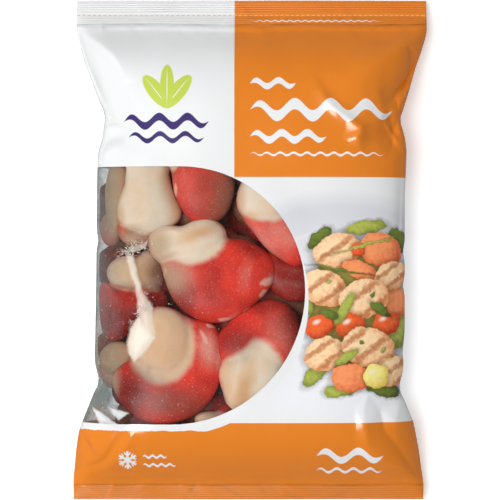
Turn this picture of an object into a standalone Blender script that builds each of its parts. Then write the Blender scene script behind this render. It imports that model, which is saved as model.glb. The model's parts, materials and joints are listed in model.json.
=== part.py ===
"""A sealed pillow bag of frozen scallops with the roe on, lying on its back with the front up.

Run with: blender --background --python part.py

The bag is a tube of film, closed by a crimped seal at its foot and by a header with a press
zip at its top. Its contents round the middle out, so the sides draw in, and at each corner a
flat ear of empty film is left. X runs across the bag, Y from foot to header, and Z up. The
origin is on the resting surface, under the middle of the bag.
"""

import math

import bmesh
import bpy
import numpy as np
from mathutils import Vector

MM = 0.001

# The empty bag, and what filling does to it.
LENGTH = 335 * MM
CROWN_HEIGHT = 53 * MM
HEADER = 18 * MM
FOOT_SEAL = 10 * MM
FILM_PAIR = 1.0 * MM

# How far each side edge stands from the centre line, against the height up the bag. The ends
# are as wide as the flat tube, and both sides are nipped in where the ears begin.
LEFT_SIDE_MM = (
    (-168, 118.5), (-153, 118.5), (-147, 117.8), (-134, 116.5), (-121, 114.5), (-114, 111.8),
    (-101, 106.4), (-94, 103.7), (-88.5, 100.4), (-81, 101.7), (-74, 103.7), (-60, 103.1),
    (-13, 102.4), (60, 101.7), (67, 101), (76, 97.9), (87, 97), (90, 96.3), (94, 98.4), (101, 101.7),
    (114, 106.4), (128, 111.8), (141, 114.8), (148, 116.5), (168, 116.5),
)
RIGHT_SIDE_MM = (
    (-168, 116.5), (-156, 116.5), (-148, 115.1), (-134, 113.1), (-114, 109.1), (-107, 105.7),
    (-101, 103.7), (-94, 99.7), (-87, 99.7), (-81, 102.6), (-67, 101.7), (-54, 103.1), (34, 103.1),
    (67, 104.4), (71, 104.1), (81, 101.7), (86, 99.4), (94, 102.4), (107, 106.4), (121, 110.4),
    (134, 115.1), (145, 118.5), (168, 118.5),
)
SIDE_ROUNDING = 2.5 * MM

# Heights above the surface on which the bag lies.
SIDE_SEAM_HEIGHT = 25 * MM
HEADER_HEIGHT = 12 * MM
HEADER_DROOP = 5 * MM
FOOT_HEIGHT = 10 * MM
FOOT_DROOP = 3 * MM

# The ears: how far they reach from an end seal, and how soon the film climbs to full height.
# A higher steepness makes the film rise at once from its seal and lie level sooner.
EAR_LENGTH = 66 * MM
END_CLIMB = 80 * MM
EAR_CLIMB = 60 * MM
UNDERSIDE_CLIMB = 30 * MM
END_STEEPNESS = 2.8
EAR_STEEPNESS = 2.1
UNDERSIDE_STEEPNESS = 1.8
RIDGE_SHARPNESS = 4

# The flanks: how square and how steep the bag is across its middle, above and below.
FLANK_FULLNESS = 2.6
FLANK_ROUNDNESS = 0.52
UNDERSIDE_FULLNESS = 9
UNDERSIDE_ROUNDNESS = 0.5
CONTACT_SHARE = 0.93

# How soon the folds and lumps reach their full height as the film climbs.
RELIEF_GAIN = 1.6

# Crimp ribs: where each band starts and ends up the bag, and how many ribs it has.
RIB_BANDS_MM = ((-167, -158.2, 6), (151, 156, 3), (159.2, 166.2, 4))
RIB_RISE = 0.35 * MM
BACK_RIB_SHARE = 0.6

# The seals aren't quite straight: how far each rises and falls, its wave number and its start.
HEADER_WAVE = (1.3 * MM, 1 / (31 * MM), 0.6)
FOOT_WAVE = (1.1 * MM, 1 / (27 * MM), 2.1)

# Puckers that start at each end seal: their wave lengths, height, start and reach.
PUCKER_WAVES_MM = (31, 19.5)
PUCKER_RISE = 0.8 * MM
PUCKER_START = 6 * MM
PUCKER_REACH = 17 * MM
HEADER_PUCKER_PHASE = 0.4
FOOT_PUCKER_PHASE = 1.9

# What lies right under the film: the middle of each piece, its half length and half width,
# the turn of its long axis, and how far it lifts the film.
LUMPS_MM = (
    (-70, 38, 26, 25, 10, 3.0),
    (-22, -16, 38, 30, -20, 4.2),
    (-58, -72, 38, 36, 30, 4.5),
    (0, -76, 27, 27, 0, 3.2),
    (16, 22, 26, 15, -50, 2.6),
    (-36, 40, 24, 22, 0, 2.0),
    (-83, -36, 17, 28, 0, 1.8),
    (50, -20, 40, 34, 25, 1.6),
    (46, 70, 38, 32, -30, 1.4),
    (-40, 88, 36, 30, 15, 1.4),
    (52, -88, 34, 30, 0, 1.4),
)

# Large folds in the front film: from, to, half width and height, all in mm. A minus height
# is a valley. They run in from the nips and the corners.
FOLDS_MM = (
    (117, 148, 86, 126, 5, 2.2),
    (86, 126, 64, 114, 7, 1.6),
    (87, 125, 92, 100, 5, -2.6),
    (99, 86, 70, 78, 8, -3.4),
    (92, 96, 60, 98, 8, 2.0),
    (-98, 86, -76, 92, 6, 2.0),
    (-99, 80, -74, 72, 7, -3.0),
    (-101, 66, -78, 62, 6, 1.8),
    (-114, 140, -88, 116, 7, 2.0),
    (99, -92, 84, -108, 6, -2.4),
    (104, -100, 80, -116, 6, 1.8),
    (-104, -90, -86, -98, 6, -2.2),
    (-112, -120, -103, -138, 5, -2.4),
    (-114, -148, -84, -124, 6, 1.4),
)

# How finely the film is divided.
COLUMNS = 38
EDGE_CROWDING = 0.92
BODY_STEP = 7.5 * MM
EAR_STEP = 4.8 * MM

# Where the body meets its seals, and where the ears end.
HEADER_LINE = LENGTH / 2 - HEADER
FOOT_LINE = -LENGTH / 2 + FOOT_SEAL
EAR_END = HEADER_LINE - EAR_LENGTH


def eased(share):
    """0 to 1 with a level start and end."""
    share = np.clip(share, 0, 1)
    return share * share * (3 - 2 * share)


def climb(share, steepness):
    """0 to 1, steep at first and level at the top, as film leaves a seal."""
    return 1 - (1 - np.clip(share, 0, 1)) ** steepness


def lesser(a, b):
    """The smaller of two shares, with the corner between them rounded to a ridge."""
    a, b = np.maximum(a, 1e-4), np.maximum(b, 1e-4)
    mean = (a**-RIDGE_SHARPNESS + b**-RIDGE_SHARPNESS) / 2
    return mean ** (-1 / RIDGE_SHARPNESS)


def side(points_mm, y):
    """Distance from the centre line to a side edge, its corners rounded a little."""
    up, out = np.array(points_mm).T * MM
    shifts = np.linspace(-SIDE_ROUNDING, SIDE_ROUNDING, 7)
    return np.mean([np.interp(y + shift, up, out) for shift in shifts], axis=0)


def half_width(x, y):
    return np.where(x < 0, side(LEFT_SIDE_MM, y), side(RIGHT_SIDE_MM, y))


def from_seal(y):
    """Distance to the nearer end seal, and 0 inside a seal."""
    return np.maximum(np.minimum(HEADER_LINE - y, y - FOOT_LINE), 0)


def seam_height(y):
    """Height of the line in which the front and back films meet at the sides and seals."""
    header = HEADER_HEIGHT - HEADER_DROOP * eased((y - HEADER_LINE) / HEADER)
    foot = FOOT_HEIGHT - FOOT_DROOP * eased((FOOT_LINE - y) / FOOT_SEAL)
    end = np.where(y > 0, header, foot)
    return end + (SIDE_SEAM_HEIGHT - end) * eased(from_seal(y) / EAR_LENGTH)


def seal_wave(x, y):
    """Rise and fall of the two seals along their length."""
    def wave(rise, number, start):
        return rise * np.sin(x * number + start)

    header = wave(*HEADER_WAVE) * eased((y - HEADER_LINE) / HEADER)
    return header + wave(*FOOT_WAVE) * eased((FOOT_LINE - y) / FOOT_SEAL)


def ribs(y):
    """Height of the crimp ribs across a seal."""
    rise = np.zeros_like(y)
    for low_mm, high_mm, count in RIB_BANDS_MM:
        share = (y / MM - low_mm) / (high_mm - low_mm)
        wave = 0.5 - 0.5 * np.cos(2 * math.pi * count * share)
        rise += np.where((share >= 0) & (share <= 1), RIB_RISE * wave, 0)
    return rise


def pucker_rise(x, y):
    """Waves across the film beside a seal, where its flat line meets the round body."""
    gap = from_seal(y)
    strength = PUCKER_RISE * eased(gap / PUCKER_START) * np.exp(-gap / PUCKER_REACH)
    phase = np.where(y > 0, HEADER_PUCKER_PHASE, FOOT_PUCKER_PHASE)
    return strength * sum(
        np.sin(2 * math.pi * x / (wave * MM) + phase * wave) for wave in PUCKER_WAVES_MM
    )


def lump_rise(x, y):
    """How far the pieces inside lift the front film."""
    rise = np.zeros_like(x)
    for mid_x, mid_y, long_half, short_half, turn, height in LUMPS_MM:
        c, s = math.cos(math.radians(turn)), math.sin(math.radians(turn))
        dx, dy = x / MM - mid_x, y / MM - mid_y
        along, across = (c * dx + s * dy) / long_half, (c * dy - s * dx) / short_half
        rise = np.maximum(rise, height * MM * np.exp(-((along**2 + across**2) ** 1.5)))
    return rise


def fold_rise(x, y):
    """Ridges and valleys that fade out towards both of their ends."""
    rise = np.zeros_like(x)
    for x1, y1, x2, y2, half, height in FOLDS_MM:
        dx, dy = x2 - x1, y2 - y1
        length = math.hypot(dx, dy)
        px, py = x / MM - x1, y / MM - y1
        along = np.clip((px * dx + py * dy) / length**2, -0.3, 1.3)
        across = np.abs(px * dy - py * dx) / length
        end_gap = np.maximum(np.abs(along - 0.5) - 0.5, 0) * length
        taper = np.sin(math.pi * np.clip(along, 0.04, 0.96)) ** 0.5
        rise += height * MM * taper * np.exp(-(across + end_gap) / half)
    return rise


def front_height(x, y):
    """Height of the front film."""
    half = half_width(x, y)
    share = np.clip(np.abs(x) / half, 0, 1)
    gap = from_seal(y)
    body = eased(gap / EAR_LENGTH)
    flank = (1 - share**FLANK_FULLNESS) ** FLANK_ROUNDNESS
    ear = climb((half - np.abs(x)) / EAR_CLIMB, EAR_STEEPNESS)
    rise = lesser(climb(gap / END_CLIMB, END_STEEPNESS), ear + (flank - ear) * body)
    seam = seam_height(y)
    level = seam + (CROWN_HEIGHT - seam) * rise
    relief = lump_rise(x, y) + fold_rise(x, y) + pucker_rise(x, y)
    relief = relief * eased(rise * RELIEF_GAIN)
    return level + relief + seal_wave(x, y) + FILM_PAIR + ribs(y)


def back_height(x, y):
    """Height of the back film, which lies flat on the surface over most of its area."""
    half = half_width(x, y)
    share = np.clip(np.abs(x) / half, 0, 1)
    gap = from_seal(y)
    body = eased(gap / EAR_LENGTH)
    flank = (1 - share**UNDERSIDE_FULLNESS) ** UNDERSIDE_ROUNDNESS
    ear = climb((half - np.abs(x)) / UNDERSIDE_CLIMB, UNDERSIDE_STEEPNESS)
    end = climb(gap / UNDERSIDE_CLIMB, UNDERSIDE_STEEPNESS)
    fall = lesser(end, ear + (flank - ear) * body)
    seam = seam_height(y)
    level = seam * (1 - np.minimum(fall / CONTACT_SHARE, 1))
    return level + seal_wave(x, y) - ribs(y) * BACK_RIB_SHARE


def row_heights():
    """The rows of the film up the bag: one at each rib and trough, and wider apart between."""
    rows = [-LENGTH / 2, HEADER_LINE, LENGTH / 2]
    rows += list(np.arange(FOOT_LINE, -EAR_END, EAR_STEP))
    rows += list(np.arange(-EAR_END, EAR_END, BODY_STEP))
    rows += list(np.arange(EAR_END, HEADER_LINE - EAR_STEP / 2, EAR_STEP))
    for low_mm, high_mm, count in RIB_BANDS_MM:
        rows += list(np.linspace(low_mm, high_mm, 2 * count + 1) * MM)
    return np.array(sorted(rows))


def film_grid(height):
    """Points of one film, row by row, crowded towards the side edges where it turns down."""
    turn = np.linspace(-1, 1, COLUMNS + 1) * EDGE_CROWDING * math.pi / 2
    share = np.sin(turn) / math.sin(turn[-1])
    y, share = np.meshgrid(row_heights(), share, indexing="ij")
    x = share * half_width(share, y)
    return np.stack([x, y, height(x, y)], axis=-1)


def add_cell(bm, corners):
    """Two triangles, parted along the hip that runs in from the nearest corner of the bag."""
    middle = sum((v.co for v in corners), Vector()) / 4
    if middle.x * middle.y < 0:
        corners = corners[1:] + corners[:1]
    a, b, c, d = corners
    bm.faces.new((a, b, c))
    bm.faces.new((a, c, d))


def bag_mesh():
    """The front and back films, closed along all four edges."""
    front, back = film_grid(front_height), film_grid(back_height)
    rows, columns = front.shape[:2]
    bm = bmesh.new()
    top = [[bm.verts.new(p) for p in line] for line in front]
    base = [[bm.verts.new(p) for p in line] for line in back]
    for i in range(rows - 1):
        for j in range(columns - 1):
            add_cell(bm, (top[i][j], top[i][j + 1], top[i + 1][j + 1], top[i + 1][j]))
            add_cell(bm, (base[i][j], base[i + 1][j], base[i + 1][j + 1], base[i][j + 1]))
        bm.faces.new((base[i][0], top[i][0], top[i + 1][0], base[i + 1][0]))
        bm.faces.new((top[i][-1], base[i][-1], base[i + 1][-1], top[i + 1][-1]))
    for j in range(columns - 1):
        bm.faces.new((base[0][j], base[0][j + 1], top[0][j + 1], top[0][j]))
        bm.faces.new((base[-1][j + 1], base[-1][j], top[-1][j], top[-1][j + 1]))
    flat = [f for f in bm.faces if all(v.co.z < 1e-7 for v in f.verts)]
    bmesh.ops.dissolve_faces(bm, faces=flat)
    bmesh.ops.triangulate(bm, faces=bm.faces[:])
    mesh = bpy.data.meshes.new("bag")
    bm.to_mesh(mesh)
    bm.free()
    return mesh


def printed_film():
    """Glossy printed film, orange like most of the front."""
    material = bpy.data.materials.new("printed_film")
    material.use_nodes = True
    shader = material.node_tree.nodes["Principled BSDF"]
    shader.inputs["Base Color"].default_value = (0.79, 0.235, 0.027, 1)
    shader.inputs["Roughness"].default_value = 0.3
    shader.inputs["Metallic"].default_value = 0.0
    return material


def clear_scene():
    for obj in list(bpy.data.objects):
        bpy.data.objects.remove(obj, do_unlink=True)


def main():
    clear_scene()
    bag = bpy.data.objects.new("bag", bag_mesh())
    bag.data.materials.append(printed_film())
    bpy.context.scene.collection.objects.link(bag)


main()
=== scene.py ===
# %% [markdown]
# # A pillow bag of frozen scallops
#
# A pillow bag is a tube of printed film, sealed flat at both ends round its contents. This one
# lies on its back. Part of the film is left without ink, so that the raw scallops show: each is
# a cream muscle with its red roe still on.
#
# The lesson starts from a plain solid with the outer shape of the filled bag. It drapes a fine
# film over that solid, creases it, cuts the clear window out of it and fills it with scallops.
# X runs across the bag, Y from its foot to its header, and Z up, all in metres.

# %% Load the frame
import json
import math
from contextlib import contextmanager

import bpy
import numpy as np
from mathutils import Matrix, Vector, noise
from mathutils.bvhtree import BVHTree
from mathutils.geometry import delaunay_2d_cdt

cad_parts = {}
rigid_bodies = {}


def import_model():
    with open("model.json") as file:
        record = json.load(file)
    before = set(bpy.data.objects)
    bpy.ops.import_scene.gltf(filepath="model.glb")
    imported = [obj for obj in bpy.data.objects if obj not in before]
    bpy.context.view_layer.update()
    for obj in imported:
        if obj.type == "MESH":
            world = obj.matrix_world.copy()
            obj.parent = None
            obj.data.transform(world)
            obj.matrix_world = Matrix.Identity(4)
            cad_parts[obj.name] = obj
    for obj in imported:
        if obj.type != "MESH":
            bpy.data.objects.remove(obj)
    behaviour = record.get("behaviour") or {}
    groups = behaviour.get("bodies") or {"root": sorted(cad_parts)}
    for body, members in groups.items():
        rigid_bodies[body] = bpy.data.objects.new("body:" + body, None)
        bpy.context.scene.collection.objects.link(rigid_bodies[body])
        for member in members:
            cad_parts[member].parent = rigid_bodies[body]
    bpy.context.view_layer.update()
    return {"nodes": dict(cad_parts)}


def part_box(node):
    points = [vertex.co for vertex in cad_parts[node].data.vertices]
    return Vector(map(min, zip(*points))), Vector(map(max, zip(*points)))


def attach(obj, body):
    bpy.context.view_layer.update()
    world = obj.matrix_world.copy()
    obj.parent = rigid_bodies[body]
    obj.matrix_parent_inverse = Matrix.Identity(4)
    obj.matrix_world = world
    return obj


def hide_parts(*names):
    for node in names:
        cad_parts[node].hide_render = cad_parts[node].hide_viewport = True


MM = 0.001
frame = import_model()
bpy.ops.object.select_all(action="DESELECT")

# %% [markdown]
# ## What the solid already says
#
# The film could be drawn again from numbers, but then the two could drift apart. It is safer to
# read the shape off the solid: its outline gives the side edges, and rays cast down and up onto
# it give the heights of the front and back film.

# %% Measure the solid
SAME_LEVEL = 2e-6


def ray_tree(obj):
    """A tree of an object's faces, for rays to be cast onto."""
    faces = [tuple(face.vertices) for face in obj.data.polygons]
    return BVHTree.FromPolygons([v.co for v in obj.data.vertices], faces)


solid = frame["nodes"]["bag"]
low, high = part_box("bag")
solid_points = np.array([v.co for v in solid.data.vertices])
solid_tree = ray_tree(solid)
levels = np.unique(solid_points[:, 1].round(6))
rings = [solid_points[abs(solid_points[:, 1] - y) < SAME_LEVEL, 0] for y in levels]
left_edge = np.array([ring.min() for ring in rings])
right_edge = np.array([ring.max() for ring in rings])
HEADER_LINE = high.y - 18 * MM
FOOT_LINE = low.y + 10 * MM
print(len(levels), "levels, waist", round((right_edge - left_edge).min() / MM, 1), "mm")


# %% Rows and columns of the film
COLUMNS = 168
EDGE_CROWDING = 0.95
SEAL_STEP = 0.30 * MM
EAR_STEP = 1.15 * MM
BODY_STEP = 1.9 * MM
EAR_REACH = 72 * MM

film_rows = np.concatenate([
    np.arange(low.y, FOOT_LINE, SEAL_STEP),
    np.arange(FOOT_LINE, FOOT_LINE + EAR_REACH, EAR_STEP),
    np.arange(FOOT_LINE + EAR_REACH, HEADER_LINE - EAR_REACH, BODY_STEP),
    np.arange(HEADER_LINE - EAR_REACH, HEADER_LINE, EAR_STEP),
    np.arange(HEADER_LINE, high.y - SEAL_STEP / 2, SEAL_STEP),
    [high.y],
])
turn = np.linspace(-1, 1, COLUMNS + 1) * EDGE_CROWDING * math.pi / 2
column_share = np.sin(turn) / math.sin(turn[-1])
print(len(film_rows), "rows of", COLUMNS, "cells")


def across(y):
    """X of every film column at the heights y, as rows by columns."""
    left = -np.interp(y, levels, left_edge)[:, None]
    right = np.interp(y, levels, right_edge)[:, None]
    return np.where(column_share < 0, left, right) * column_share


# %% [markdown]
# ## Heights of the two films
#
# The solid is made of flat triangles about 7 mm wide, and film has none. So the rays are cast on
# a coarse set of rows, and the heights are then averaged with their neighbours, which is what a
# Smooth modifier does. The crimp ribs are drawn finer further on, so in the seals only the flat
# lines between the ribs are measured.

# %% Cast the rays and smooth the heights
CAST_STEP = 2.6 * MM
SEAL_LINES_MM = ((-167.4, -157.8), (149.9, 157.6, 167.3))
SMOOTHINGS = 9
FILM_GAP = 0.32 * MM
# Rays at the very edge would miss the solid.
JUST_INSIDE = 0.9996


def smoothed(heights, passes):
    """Each height averaged with its neighbours along both directions."""
    for _ in range(passes):
        for axis in (0, 1):
            padded = np.concatenate([
                heights.take([0], axis), heights, heights.take([-1], axis),
            ], axis)
            size = heights.shape[axis]
            before = padded.take(range(size), axis)
            after = padded.take(range(2, size + 2), axis)
            heights = heights / 2 + (before + after) / 4
    return heights


def cast_heights(sign):
    """Heights of the solid under (sign 1) or over (sign -1) every film point."""
    rows = np.concatenate([
        np.array(SEAL_LINES_MM[0]) * MM,
        np.arange(FOOT_LINE + CAST_STEP / 2, HEADER_LINE - CAST_STEP / 2, CAST_STEP),
        np.array(SEAL_LINES_MM[1]) * MM,
    ])
    x = across(rows) * JUST_INSIDE
    heights = np.zeros_like(x)
    down = Vector((0, 0, -sign))
    for i, y in enumerate(rows):
        for j in range(x.shape[1]):
            hit = solid_tree.ray_cast(Vector((x[i, j], y, sign)), down)[0]
            heights[i, j] = hit.z if hit else heights[i, j - 1]
    body = slice(len(SEAL_LINES_MM[0]) - 1, len(rows) - len(SEAL_LINES_MM[1]) + 1)
    heights[body] = smoothed(heights[body], SMOOTHINGS)
    columns = [np.interp(film_rows, rows, heights[:, j]) for j in range(x.shape[1])]
    return np.array(columns).T


film_x = across(film_rows)
film_y = np.repeat(film_rows[:, None], COLUMNS + 1, axis=1)
front_z = cast_heights(1)
back_z = np.maximum(cast_heights(-1), 0)
print("front film up to", round(front_z.max() / MM, 1), "mm")


# %% [markdown]
# ## Where the films meet
#
# In the seals the two films are welded, and at the sides one turns into the other. Both are
# brought to the same height there, so that the tube is closed all round.

# %% Close the films on each other
def eased(share):
    """0 to 1 with a level start and end."""
    share = np.clip(share, 0, 1)
    return share * share * (3 - 2 * share)


SEAL_REACH = 5 * MM
SIDE_REACH = 3 * MM
SHUT_GAP = 1.3 * MM
ON_RIM = 1e-7

half_width = np.where(film_x < 0, -film_x[:, :1], film_x[:, -1:])
from_side = half_width - abs(film_x)
from_seal = np.maximum(np.minimum(HEADER_LINE - film_y, film_y - FOOT_LINE), 0)
from_end = np.minimum(high.y - film_y, film_y - low.y)

closed = np.exp(-from_seal / SEAL_REACH)
closed = np.maximum(closed, np.exp(-from_side / SIDE_REACH))
middle_z = (front_z + back_z) / 2
half_gap = np.minimum((front_z - back_z) / 2, SHUT_GAP / 2)
half_film = FILM_GAP / 2 * np.minimum(np.minimum(from_side, from_end) / MM, 1)
front_z = front_z - (half_gap - half_film) * closed
back_z = back_z + (half_gap - half_film) * closed
rim = np.minimum(from_side, from_end) < ON_RIM
front_z[rim] = back_z[rim] = middle_z[rim]
print(int(rim.sum()), "points on the rim")


# %% [markdown]
# ## Folds, puckers and crimp ribs
#
# Film doesn't stretch. Where the round body meets a flat seal there is too much of it, and it
# gathers: in long ridges that run in from the corners, in hollows behind the nips, and in short
# puckers along the seals. Each is a smooth curve through a few points, with a height and a width
# on either side, so one flank can be soft and the other sharp. A cloth simulation would fold
# somewhere else each time a number changes, and these folds have known places.

# %% Draw the folds
FOLDS_MM = (
    # Upper left ear: the crest from the corner, the crease beside the edge, the flank's hollow.
    (((-114, 147), (-102, 138.5), (-91, 129), (-85, 120), (-82, 108)), 9, 4, 3.0),
    (((-114.6, 146), (-110.5, 131), (-104.5, 115), (-97.5, 98)), 1.5, 1.1, -1.3),
    (((-106, 122), (-101, 108), (-93.5, 94)), 2.6, 7.0, -3.2),
    # The left nip: two hollows with a lit ridge between them.
    (((-96, 90), (-88.2, 84.5), (-78, 79)), 3.0, 5.5, -3.0),
    (((-97, 79), (-88, 82), (-80, 79)), 2.0, 1.4, 1.7),
    (((-99, 71), (-90, 74.5), (-82, 76)), 4.0, 3.0, -1.8),
    (((-101, 62), (-91, 67), (-83, 69)), 3.0, 4.0, 1.6),
    (((-100.5, 54), (-97, 66), (-93, 75)), 1.4, 2.0, -1.1),
    # Upper right: the long crease that glints, and the zip's small roll under the header.
    (((42, 113), (47, 104), (51, 98), (58.5, 91), (67.5, 84.5), (73, 79), (70, 68)), 3.4, 5.4, 2.4),
    (((-8, 152.5), (-1, 149.2), (5, 148.0), (11, 148.8), (16, 151)), 1.2, 1.8, 1.0),
    # The right nip and the crease beside the right edge.
    (((88.6, 85.3), (93.6, 77.8), (99.4, 69.5)), 1.2, 1.4, 1.5),
    (((100.2, 70), (100, 40), (98.6, 0), (99, -40), (98.2, -85)), 1.6, 3.0, -1.2),
    # Lower left ear: the crease by the edge and the broad hollow that runs down to the corner.
    (((-111.5, -122), (-107, -130), (-102.5, -138)), 1.2, 5.0, -2.2),
    (((-82, -118), (-91, -131), (-98, -140), (-115, -147.5)), 6.0, 3.0, -2.3),
    (((-76, -117), (-84, -135), (-97, -147)), 4.0, 7.0, 1.5),
    (((-103, -106), (-94, -112.5), (-86, -113), (-79, -110.5)), 1.8, 3.2, 2.3),
    (((-99, -99), (-91, -104.5), (-80, -107)), 1.8, 2.6, -1.7),
    (((-105.5, -98), (-100, -92), (-94, -86)), 2.0, 4.0, -1.8),
    # Slack film over the food, at the left of the window.
    (((-91, 3), (-83, 7.5), (-75, 12), (-70, 17)), 1.6, 1.6, 0.9),
    (((-84, 5), (-80, -8), (-74, -22), (-69, -38), (-66, -52)), 3.2, 1.6, 1.7),
    (((-72, -10), (-74, -26), (-80, -42)), 1.0, 1.0, -0.6),
)
FOLD_STEPS = 7
FOLD_GAIN = 1.35
SHARPNESS = 1.2


def curve_through(points, steps):
    """Points along a smooth curve through the given ones."""
    p = np.array([points[0], *points, points[-1]], float)
    share = np.linspace(0, 1, steps, endpoint=False)[:, None]
    bits = []
    for a, b, c, d in zip(p, p[1:], p[2:], p[3:]):
        bend = (2 * a - 5 * b + 4 * c - d) * share**2 + (3 * b - a - 3 * c + d) * share**3
        bits.append(b + ((c - a) * share + bend) / 2)
    return np.concatenate([*bits, p[-1:]])


def ridge(x, y, points, left, right, height, steps=FOLD_STEPS):
    """Height of one fold at x, y, all in mm: full in its middle, fading to both its ends."""
    line = curve_through(points, steps)
    nearest = np.full(x.shape, 1e9)
    side = np.zeros(x.shape)
    along = np.zeros(x.shape)
    lengths = np.hypot(*np.diff(line, axis=0).T)
    start = 0
    for (ax, ay), (bx, by), length in zip(line, line[1:], lengths):
        share = ((x - ax) * (bx - ax) + (y - ay) * (by - ay)) / length**2
        share = np.clip(share, 0, 1)
        dx, dy = x - ax - share * (bx - ax), y - ay - share * (by - ay)
        gap = np.hypot(dx, dy)
        closer = gap < nearest
        nearest = np.where(closer, gap, nearest)
        side = np.where(closer, (bx - ax) * dy - (by - ay) * dx, side)
        along = np.where(closer, start + share * length, along)
        start += length
    width = np.where(side > 0, left, right)
    fade = np.sin(math.pi * np.clip(along / start, 0.02, 0.98)) ** 0.6
    return height * fade * np.exp(-((nearest / width) ** SHARPNESS))


x_mm, y_mm = film_x / MM, film_y / MM
folds = FOLD_GAIN * sum(ridge(x_mm, y_mm, *fold) for fold in FOLDS_MM)
print(len(FOLDS_MM), "folds, up to", round(float(folds.max()), 1), "mm high")

# %% [markdown]
# ### Crumpled corners
#
# Where film is pushed together from two sides it doesn't curve, it breaks into flat facets with
# crisp creases between them. Each such place is a net: a few points with a height, and the pairs
# of them that a crease joins. Triangles are laid between the points, with an edge along each
# crease.

# %% Crumple the right corners
NETS_MM = {
    "upper right ear": ((
        (118, 149.5, 0), (104.4, 137.2, 1.6), (87, 124.7, 3.8), (65.4, 113.4, 2.0), (48, 108, 0),
        (104.6, 122, 0.6), (107.6, 122.4, -3.2), (104, 111.5, -4.6), (95.6, 102, -3.8),
        (101, 117.5, 0.4), (84, 105, 1.2), (106.2, 131, -1.8), (114.5, 131, 1.0), (109, 116, 0.6),
        (101.5, 101, 0), (98.5, 92, 0), (100, 147, 0), (80, 138, 0), (60, 128, 0), (45, 118, 0),
        (60, 98, 0), (76, 93, 0), (88, 92, 0),
    ), (
        (0, 1), (1, 2), (2, 3), (3, 4), (1, 5), (5, 9), (9, 2), (1, 11), (11, 6), (6, 7), (7, 8),
        (2, 10),
    )),
    "right nip": ((
        (70.1, 74.1, 2.2), (73.5, 80.3, 2.6), (86, 87, 1.6), (93.6, 84.5, -2.4), (94.4, 77.8, -5.0),
        (82, 73.5, -1.2), (94.4, 69.5, -2.8), (99.4, 65.3, -0.8), (61, 72, 0), (64, 85, 0),
        (78, 94, 0), (91, 94, 0), (98.5, 88, 0), (102, 76, 0), (102.2, 62, 0), (90, 60, 0),
        (74, 64, 0),
    ), ((0, 1), (1, 2), (2, 3), (3, 4), (0, 5), (5, 6), (6, 7), (4, 6))),
    "lower right ear": ((
        (75.0, -104, 0.8), (75.5, -115.2, 1.8), (77, -126, 2.2), (80.8, -132.3, 2.2),
        (87, -137, 2.2), (99.3, -144.6, 1.6), (115, -155.5, 0), (89, -119, -2.8), (97, -129, -2.8),
        (105, -141, -1.6), (86, -106, -2.0), (96, -112, 1.0), (101.5, -97, 0), (105.5, -110, 0),
        (110, -123, 0), (113, -137, 0), (117, -150, 0), (69, -103, 0), (68.5, -118, 0),
        (71, -135, 0), (80, -147, 0), (99, -155, 0), (78, -94, 0), (93, -92, 0),
    ), (
        (0, 1), (1, 2), (2, 3), (3, 4), (4, 5), (5, 6), (7, 11), (7, 8), (8, 9), (10, 11), (10, 7),
    )),
}


def crumpled(x, y, points, creases):
    """Height of a net of flat facets at x, y, all in mm, and 0 outside it."""
    net = delaunay_2d_cdt([Vector(point[:2]) for point in points], creases, [], 0, 1e-4)
    heights = [points[origin[0]][2] for origin in net[3]]
    total = np.zeros(x.shape)
    for triangle in net[2]:
        (ax, ay), (bx, by), (cx, cy) = (net[0][i] for i in triangle)
        twice_area = (bx - ax) * (cy - ay) - (by - ay) * (cx - ax)
        to_b = ((x - ax) * (cy - ay) - (y - ay) * (cx - ax)) / twice_area
        to_c = ((bx - ax) * (y - ay) - (by - ay) * (x - ax)) / twice_area
        inside = (to_b >= 0) & (to_c >= 0) & (to_b + to_c <= 1)
        a, b, c = (heights[i] for i in triangle)
        total[inside] = (a + (b - a) * to_b + (c - a) * to_c)[inside]
    return total


NET_GAIN = 1.35
for name, (points, creases) in NETS_MM.items():
    net_heights = crumpled(x_mm, y_mm, points, creases)
    folds = folds + NET_GAIN * net_heights
    print(name, "from", round(net_heights.min(), 1), "to", round(net_heights.max(), 1), "mm")


# %% Gather the film along the seals
rng = np.random.default_rng(7)
PUCKERS = 64
HEADER_SHARE = 0.55
# Ranges in mm: the start across the bag, the slant, the reach, the width and the height.
PUCKER_RANGES = ((-106, 106), (-11, 11), (4, 14), (0.8, 2.2), (0.2, 0.75))


def seal_puckers():
    """Short creases that start at a seal and run into the body at a slant."""
    total = np.zeros_like(x_mm)
    for _ in range(PUCKERS):
        at_header = rng.random() < HEADER_SHARE
        start_x, slant, reach, width, height = (rng.uniform(*span) for span in PUCKER_RANGES)
        height *= rng.choice((-1, 1))
        start_y = HEADER_LINE / MM + 1.5 if at_header else FOOT_LINE / MM - 0.5
        end_y = start_y + (-reach if at_header else reach)
        line = ((start_x, start_y), (start_x + slant, end_y))
        total += ridge(x_mm, y_mm, line, width, width * 1.5, height, 1)
    return total


def wavy(x, y, size, seed):
    """Smooth noise from -1 to 1 on the film grid."""
    flat = [noise.noise((a / size, b / size, seed)) for a, b in zip(x.ravel(), y.ravel())]
    return np.array(flat).reshape(x.shape)


# Wrinkles that bow along a seal: where each starts and ends across, and its gap to the seal.
BOWED_MM = (
    (-70, -36, 6.0, 3.5), (-40, -12, 4.5, 2.0), (-8, 34, 5.5, 2.5), (30, 52, 8.5, 4.0),
    (56, 96, 4.0, 2.0), (-104, -70, 4.5, 2.0),
)
BOW_WIDTH = 1.3
BOW_RISE = 0.7


def bowed_wrinkles():
    """Shallow arcs just inside the foot seal, where the last of the film rolls up."""
    total = np.zeros_like(x_mm)
    base = FOOT_LINE / MM
    for start, end, gap, bow in BOWED_MM:
        third = (end - start) / 3
        line = ((start, base + gap), (start + third, base + gap + bow),
                (end - third, base + gap + bow), (end, base + gap))
        total += ridge(x_mm, y_mm, line, BOW_WIDTH, 2 * BOW_WIDTH, BOW_RISE)
    return total


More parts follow.
